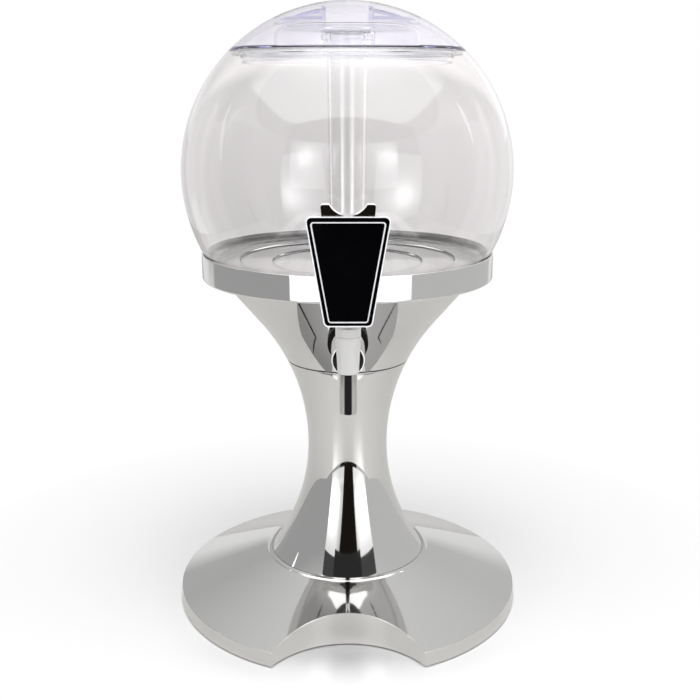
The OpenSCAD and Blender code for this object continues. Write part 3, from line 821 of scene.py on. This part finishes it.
def trapezoid(off, r, n=8, top=None, low=None, taper=0.0):
    """The outline of the lever's face, anticlockwise, moved inwards by off (top and low: at its upper and lower edge).

    taper: how much further in the sides are at the lower end.
    """
    z0, z1 = 227.1 + (off if low is None else low), 288.4 - (off if top is None else top)

    def half(z):
        return END_W / 2 + (z - 227.1) * (TOP_W - END_W) / 2 / 61.3

    if top is None and low is None:
        w1, w2 = END_W / 2 - off, TOP_W / 2 - off
    else:
        w1, w2 = half(z0) - off - taper, half(z1) - off
    return rounded([(-w1 + r, z0 + r), (w1 - r, z0 + r), (w2 - r, z1 - r), (-w2 + r, z1 - r)], r, n)


FACE_Y = TAP_Y - 13.4

face = slab("lever_arm", trapezoid(0, 3), FACE_Y, FACE_Y + 3.0)
recess = slab("recess", trapezoid(0.65, 2.5), FACE_Y - 1.0, FACE_Y + 0.8)
combine(face, recess, "DIFFERENCE")
saddle = rounded([(-7.6, 229.8), (7.6, 229.8), (13.85, 293.2), (-13.85, 293.2)], 1.2)
arm = slab("arm", saddle, FACE_Y + 2.8, FACE_Y + 11.0)
round_cut = lathe("round_cut", [(0.0, -FACE_Y - 14.0), (11.9, -FACE_Y - 14.0), (11.9, -FACE_Y), (0.0, -FACE_Y)], seg=120,
                  turn=Matrix.Translation((0, 0, 300.2)) @ Matrix.Rotation(math.radians(90), 4, "X"))
combine(arm, round_cut, "DIFFERENCE")
combine(face, arm, "UNION")


def side(points):
    return [(TAP_Y - a, PIVOT_Z + b) for a, b in points]


heel_arc = [(x, z) for x, z in arc(0, 0, 5, 150, 270, 24)]
heel = across("heel", side([(7, -5), (8.3, -3.9), (10.6, -1.9), (10.6, 14), (2.4, 14)] + [(5 * math.cos(math.radians(150)), 5 * math.sin(math.radians(150)))] + heel_arc[1:]), -6.4, 6.4)
combine(face, heel, "UNION")
slot_cut = across("slot_cut", side(arc(0, 0, 4.1, 0, 234.2, 26) + [(-2.4, -6.2), (6.27, -6.2)]), -2.6, 2.6)
combine(face, slot_cut, "DIFFERENCE")
pin_cut = lathe("pin_cut", [(0.0, -9.0), (1.27, -9.0), (1.27, 9.0), (0.0, 9.0)], seg=48,
                turn=Matrix.Translation((0, TAP_Y, PIVOT_Z)) @ Matrix.Rotation(math.radians(90), 4, "Y"))
combine(face, pin_cut, "DIFFERENCE")
tidy(face)
smooth(face, 30)
put_on(face, mirror_small, painted_edge_highlight)
# painted highlight: the rounded edges, and then the front rim and the crests, take the near-white edge material
edge_round(face, 0.36, 3, 30, band=1)
bake_down(face)
for p in face.data.polygons:
    c = p.center / MM
    rim = c.y < FACE_Y + 0.6
    crest = c.z > 289.2 or (p.material_index == 1 and FACE_Y + 2.9 < c.y < FACE_Y + 3.6 and abs(p.normal.x) > 0.3)
    crest = crest and (abs(p.normal.y) < 0.9 or p.material_index == 1)
    p.material_index = 1 if rim or crest else 0
even_normals(face)
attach(face, "lever")
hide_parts("lever")


def label():
    """Black insert with a thin raised silver line inside its edge."""
    loops = [
        (trapezoid(0.75, 2.4), FACE_Y + 0.77), (trapezoid(0.75, 2.4), FACE_Y + 0.22), (trapezoid(0.85, 2.3), FACE_Y + 0.12),
        (trapezoid(2.1, 1.8, top=2.95, low=2.3, taper=0.8), FACE_Y + 0.12), (trapezoid(2.1, 1.8, top=2.95, low=2.3, taper=0.8), FACE_Y + 0.06),
        (trapezoid(2.85, 1.1, top=3.65, low=3.05, taper=0.8), FACE_Y + 0.06), (trapezoid(2.85, 1.1, top=3.65, low=3.05, taper=0.8), FACE_Y + 0.12),
        (trapezoid(3.2, 0.9, top=4.0, low=3.4, taper=0.8), FACE_Y + 0.12),
    ]
    verts, faces, silver = [], [], set()
    n = len(loops[0][0])
    for pts, y in loops:
        verts += [(x, y, z) for x, z in pts]
    for i in range(len(loops) - 1):
        for q in range(n):
            a, b = i * n, (i + 1) * n
            if i in (3, 4, 5):
                silver.add(len(faces))
            faces.append((a + q, a + (q + 1) % n, b + (q + 1) % n, b + q))
    faces.append(tuple(range(n)))
    faces.append(tuple((len(loops) - 1) * n + q for q in reversed(range(n))))
    ob = make("label_insert", verts, faces, 30)
    put_on(ob, label_mat, mirror_line)
    for p in ob.data.polygons:
        p.material_index = 1 if p.index in silver else 0
    return ob


mirror_line = plastic("silver_line", (0.74, 0.74, 0.75), rough=0.35, grain=1500.0, bump=0.02, spread=0.03)
insert = label()
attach(insert, "lever")
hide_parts("label_plate")

# ---------------------------------------------------------------- camera

D, H, X0, TURN, PITCH = 673.8, 359.4, 1.76, 0.35, 15.0
t = math.radians(TURN)
cam_data = bpy.data.cameras.new("camera")
cam_data.sensor_width = 36.0
cam_data.lens = 1007.2 / 700 * 36.0
cam_data.clip_start, cam_data.clip_end = 0.01, 20.0
cam = bpy.data.objects.new("camera", cam_data)
cam.location = ((X0 * math.cos(t) - D * math.sin(t)) * MM, (-D * math.cos(t) - X0 * math.sin(t)) * MM, H * MM)
cam.rotation_euler = (math.radians(90 - PITCH), 0, -t)
scene.collection.objects.link(cam)
scene.camera = cam

# ---------------------------------------------------------------- floor, lights and surroundings


def quad(name, corners, mat):
    me = bpy.data.meshes.new(name)
    me.from_pydata([tuple(Vector(c) * MM) for c in corners], [], [tuple(range(len(corners)))])
    ob = bpy.data.objects.new(name, me)
    scene.collection.objects.link(ob)
    ob.data.materials.append(mat)
    return ob


def glow(name, strength, tone=(1, 1, 1)):
    t = Tree(name)
    e = t.nt.nodes.new("ShaderNodeEmission")
    e.inputs["Color"].default_value = (*tone, 1)
    e.inputs["Strength"].default_value = strength
    return t.finish(e.outputs[0])


def out_of_sight(ob, diffuse=True, shadow=True):
    ob.visible_camera = False
    ob.visible_diffuse = diffuse
    ob.visible_shadow = shadow


def floor_material():
    t = Tree("pale_floor")
    t_c = t.nt.nodes.new("ShaderNodeTexCoord")
    length = t.nt.nodes.new("ShaderNodeVectorMath")
    length.operation = "LENGTH"
    t.nt.links.new(t_c.outputs["Object"], length.inputs[0])
    far = t.remap(length.outputs["Value"], 0.15, 0.34, 0.0, 1.0)
    path = t.nt.nodes.new("ShaderNodeLightPath")
    # painted reflection: in glossy reflections the floor takes a darker, warmer colour than the camera sees
    tone = t.nt.nodes.new("ShaderNodeMix")
    tone.data_type = "RGBA"
    t.nt.links.new(path.outputs["Is Glossy Ray"], tone.inputs[0])
    tone.inputs[6].default_value = (0.90, 0.90, 0.905, 1)
    tone.inputs[7].default_value = (0.70, 0.69, 0.672, 1)
    sep = t.nt.nodes.new("ShaderNodeSeparateXYZ")
    t.nt.links.new(t_c.outputs["Object"], sep.inputs[0])
    # painted shadow: for camera rays the floor's colour darkens in a soft patch in front of the front notch
    shade = t.math("MULTIPLY", bell_curve(t, sep.outputs[0], -0.005, 0.060, sep.outputs[1], -0.086, 0.026), 0.45)
    shaded = t.nt.nodes.new("ShaderNodeMix")
    shaded.data_type = "RGBA"
    t.nt.links.new(t.math("MULTIPLY", shade, path.outputs["Is Camera Ray"]), shaded.inputs[0])
    t.nt.links.new(tone.outputs[2], shaded.inputs[6])
    shaded.inputs[7].default_value = (0.0, 0.0, 0.0, 1)
    p = principled(t, Base_Color=shaded.outputs[2], Roughness=0.33)
    e = t.nt.nodes.new("ShaderNodeEmission")
    e.inputs["Strength"].default_value = 1.0
    fac = t.math("MULTIPLY", far, path.outputs["Is Camera Ray"])
    mix = t.nt.nodes.new("ShaderNodeMixShader")
    t.nt.links.new(fac, mix.inputs[0])
    t.nt.links.new(p.outputs[0], mix.inputs[1])
    t.nt.links.new(e.outputs[0], mix.inputs[2])
    return t.finish(mix.outputs[0])


def soft_light(name, share, tone=(1, 1, 1)):
    """A lamp's face whose strength is a node value made by share(tree, x, y, z), in metres. share returns (strength, cover)."""
    t = Tree(name)
    tc = t.nt.nodes.new("ShaderNodeTexCoord")
    sep = t.nt.nodes.new("ShaderNodeSeparateXYZ")
    t.nt.links.new(tc.outputs["Object"], sep.inputs[0])
    strength, cover = share(t, *sep.outputs)
    e = t.nt.nodes.new("ShaderNodeEmission")
    e.inputs["Color"].default_value = (*tone, 1)
    t.put(e.inputs["Strength"], strength)
    if cover is None:
        return t.finish(e.outputs[0])
    thru = t.nt.nodes.new("ShaderNodeBsdfTransparent")
    mix = t.nt.nodes.new("ShaderNodeMixShader")
    t.nt.links.new(cover, mix.inputs[0])
    t.nt.links.new(thru.outputs[0], mix.inputs[1])
    t.nt.links.new(e.outputs[0], mix.inputs[2])
    return t.finish(mix.outputs[0])


def bell_curve(t, a, ca, wa, b, cb, wb):
    """exp(-((a - ca) / wa)^2 - ((b - cb) / wb)^2)"""
    p = t.math("POWER", t.math("ABSOLUTE", t.math("DIVIDE", t.math("SUBTRACT", a, ca), wa)), 2.0)
    q = t.math("POWER", t.math("ABSOLUTE", t.math("DIVIDE", t.math("SUBTRACT", b, cb), wb)), 2.0)
    return t.math("POWER", math.e, t.math("MULTIPLY", t.math("ADD", p, q), -1.0))


def side_share(cx, low, high, hot):
    def share(t, x, y, z):
        body = t.remap(z, 0.0, 0.10, low, high)
        body = t.math("MULTIPLY", body, t.remap(z, 0.16, 0.50, 1.0, 0.62))
        inner = t.remap(t.math("ABSOLUTE", x), 0.195, 0.30, 0.55, 1.0)
        inner = t.math("MAXIMUM", inner, t.remap(z, 0.02, 0.12, 1.0, 0.0))
        spot = t.math("MULTIPLY", bell_curve(t, x, cx, 0.14, z, 0.17, 0.13), hot)
        return t.math("ADD", t.math("MULTIPLY", body, inner), spot), None
    return share


def top_share(t, x, y, z):
    d = t.math("ADD", t.math("POWER", t.math("ABSOLUTE", t.math("DIVIDE", x, 0.95)), 4.0),
               t.math("POWER", t.math("ABSOLUTE", t.math("DIVIDE", t.math("ADD", y, 0.30), 0.79)), 4.0))
    cover = t.math("MULTIPLY", t.remap(d, 0.72, 1.0, 1.0, 0.0), t.remap(y, -0.04, 0.20, 1.0, 0.0))
    spot = bell_curve(t, x, 0.0, 0.42, y, -0.16, 0.26)
    return t.math("ADD", t.math("MULTIPLY", spot, 2.0), 1.9), cover


floor_mat = floor_material()
table = quad("floor", [(-620, -390, 0), (620, -390, 0), (620, 640, 0), (-620, 640, 0)], floor_mat)
behind = quad("floor_behind", [(-620, 640, 0), (620, 640, 0), (620, 1500, 0), (-620, 1500, 0)], floor_mat)
behind.visible_transmission = False
for nm, cs in {
    "floor_front": [(-4000, -4000, 0), (4000, -4000, 0), (4000, -390, 0), (-4000, -390, 0)],
    "floor_left": [(-4000, -390, 0), (-620, -390, 0), (-620, 4000, 0), (-4000, 4000, 0)],
    "floor_right": [(620, -390, 0), (4000, -390, 0), (4000, 4000, 0), (620, 4000, 0)],
    "floor_back": [(-620, 1500, 0), (620, 1500, 0), (620, 4000, 0), (-620, 4000, 0)],
}.items():
    rest = quad(nm, cs, floor_mat)
    rest.visible_glossy = False
    rest.visible_shadow = False
    rest.visible_transmission = False

left_panel = quad("softbox_left", [(-620, -690, -60), (-110, -690, -60), (-200, -690, 530), (-620, -690, 530)],
                  soft_light("softbox_left_light", side_share(-0.48, 0.95, 1.6, 3.2)))
right_panel = quad("softbox_right", [(175, -690, -60), (730, -690, -60), (760, -690, 540), (225, -690, 530)],
                   soft_light("softbox_right_light", side_share(0.49, 1.1, 1.8, 3.6)))
top_panel = quad("softbox_top", [(-950, -1090, 1100), (950, -1090, 1100), (950, 210, 1100), (-950, 210, 1100)],
                 soft_light("softbox_top_light", top_share))
gap_mat = glow("dark_gap", 0.012, (1.0, 0.8, 0.6))
gap = quad("gap_card", [(-260, -700, -400), (320, -700, -400), (320, -700, 530), (-260, -700, 530)], gap_mat)
above = quad("above_card", [(-620, -695, 530), (760, -695, 530), (760, -695, 860), (-620, -695, 860)], glow("above_grey", 0.07))
near_card = quad("near_card", [(-72, -185, 140), (70, -185, 140), (70, -185, 184), (-72, -185, 184)], glow("near_dark", 0.03))


def first_glow(name, strength):
    """A lamp that shows in what the camera sees directly, not in reflections of reflections."""
    t = Tree(name)
    path = t.nt.nodes.new("ShaderNodeLightPath")
    e = t.nt.nodes.new("ShaderNodeEmission")
    t.put(e.inputs["Strength"], t.math("MULTIPLY", t.math("LESS_THAN", path.outputs["Ray Depth"], 1.5), strength))
    return t.finish(e.outputs[0])


def strip(name, centre, rows, width, strength, dist=900.0):
    """A narrow lamp seen from a point in the directions given as (azimuth from the front, elevation)."""
    c = Vector(centre)
    left, right = [], []
    for az, el, w in rows:
        for side, out in ((-1, left), (1, right)):
            a, e = math.radians(az + side * w * width), math.radians(el)
            out.append(c + dist * Vector((math.sin(a) * math.cos(e), -math.cos(a) * math.cos(e), math.sin(e))))
    return quad(name, left + right[::-1], first_glow(name + "_light", strength))


rims = [
    strip("rim_left_a", (-75, -70, 330), [(-104.0, 30, 0.3), (-101.0, 22, 1.0), (-94.5, 9, 0.8), (-93.5, 4, 0.3)], 1.9, 1.9),
    strip("rim_right", (78, -60, 340), [(97.0, 34, 0.2), (96.5, 27, 1.0), (95.5, 16, 0.6), (95.0, 11, 0.15)], 2.0, 3.0),
]
for ob in (left_panel, right_panel, top_panel, *rims):
    out_of_sight(ob)
for ob in (gap, above, near_card):
    out_of_sight(ob, diffuse=False, shadow=False)
near_card.visible_transmission = False


def surroundings():
    """Grey studio in front and at the sides, lighter behind and above; plain white where the camera looks."""
    w = bpy.data.worlds.new("studio")
    scene.world = w
    w.use_nodes = True
    nt = w.node_tree
    nt.nodes.clear()
    t = Tree.__new__(Tree)
    t.nt = nt
    out = nt.nodes.new("ShaderNodeOutputWorld")
    tc = nt.nodes.new("ShaderNodeTexCoord")
    sep = nt.nodes.new("ShaderNodeSeparateXYZ")
    nt.links.new(tc.outputs["Generated"], sep.inputs[0])
    x, y, z = sep.outputs
    az = t.math("ARCTAN2", x, t.math("MULTIPLY", y, -1.0))
    away = t.math("MAXIMUM", t.remap(az, math.radians(-125), math.radians(-129), 0.0, 1.0),
                  t.remap(az, math.radians(142), math.radians(146), 0.0, 1.0))
    right = t.remap(az, math.radians(-20), math.radians(20), 0.0, 1.0)
    el = t.math("ARCSINE", z)
    high = t.remap(el, math.radians(28), math.radians(62), 0.0, 1.0)

    def mix(f, a, b):
        n = nt.nodes.new("ShaderNodeMix")
        n.data_type = "FLOAT"
        t.put(n.inputs[0], f)
        t.put(n.inputs[2], a)
        t.put(n.inputs[3], b)
        return n.outputs[0]

    front = mix(right, 0.42, 0.62)
    back = mix(t.math("MULTIPLY", t.remap(el, math.radians(-12), math.radians(-8), 0.0, 1.0),
                      t.remap(t.math("ADD", t.math("ABSOLUTE", az), mix(right, math.radians(11), math.radians(4))),
                              math.radians(152), math.radians(146), 0.0, 1.0)), 0.86, 0.45)
    back = mix(t.remap(el, math.radians(7), math.radians(16), 0.0, 1.0), back, mix(right, 0.52, 0.62))
    level = mix(away, front, back)
    level = mix(high, level, 0.74)
    # what shows through the clear parts: a grey sweep that lightens upwards and to the right
    deg = t.math("DIVIDE", el, math.radians(1.0))
    sweep = t.math("ADD", t.remap(deg, -10.0, -5.5, 0.0, 0.07), t.remap(deg, -5.5, -1.2, 0.0, 0.06))
    sweep = t.math("ADD", sweep, t.remap(deg, -0.6, 1.2, 0.0, -0.04))
    sweep = t.math("ADD", sweep, t.remap(deg, 1.5, 3.0, 0.0, 0.34))
    sweep = t.math("ADD", sweep, 0.66)
    sweep = t.math("MULTIPLY", sweep, t.math("ADD", t.math("MULTIPLY", x, 0.50), 1.0))
    turned = t.math("ABSOLUTE", az)
    sweep = mix(t.remap(turned, math.radians(146), math.radians(138), 0.0, 1.0), sweep, 1.08)
    sweep = mix(t.remap(turned, math.radians(118), math.radians(110), 0.0, 1.0), sweep, 0.42)
    path = nt.nodes.new("ShaderNodeLightPath")
    seen = mix(path.outputs["Is Transmission Ray"], level, sweep)
    seen = mix(path.outputs["Is Camera Ray"], seen, 1.0)
    tone = nt.nodes.new("ShaderNodeMix")
    tone.data_type = "RGBA"
    nt.links.new(path.outputs["Is Transmission Ray"], tone.inputs[0])
    tone.inputs[6].default_value = (1, 1, 1, 1)
    tone.inputs[7].default_value = (1.0, 0.965, 0.972, 1)
    bg = nt.nodes.new("ShaderNodeBackground")
    nt.links.new(tone.outputs[2], bg.inputs["Color"])
    nt.links.new(seen, bg.inputs["Strength"])
    nt.links.new(bg.outputs[0], out.inputs["Surface"])


surroundings()

scene.view_settings.view_transform = "Standard"
scene.view_settings.look = "None"
scene.cycles.use_denoising = True
scene.cycles.max_bounces = 24
scene.cycles.transmission_bounces = 20
scene.cycles.glossy_bounces = 8
scene.cycles.transparent_max_bounces = 24
scene.cycles.sample_clamp_indirect = 6.0
scene.cycles.blur_glossy = 0.0
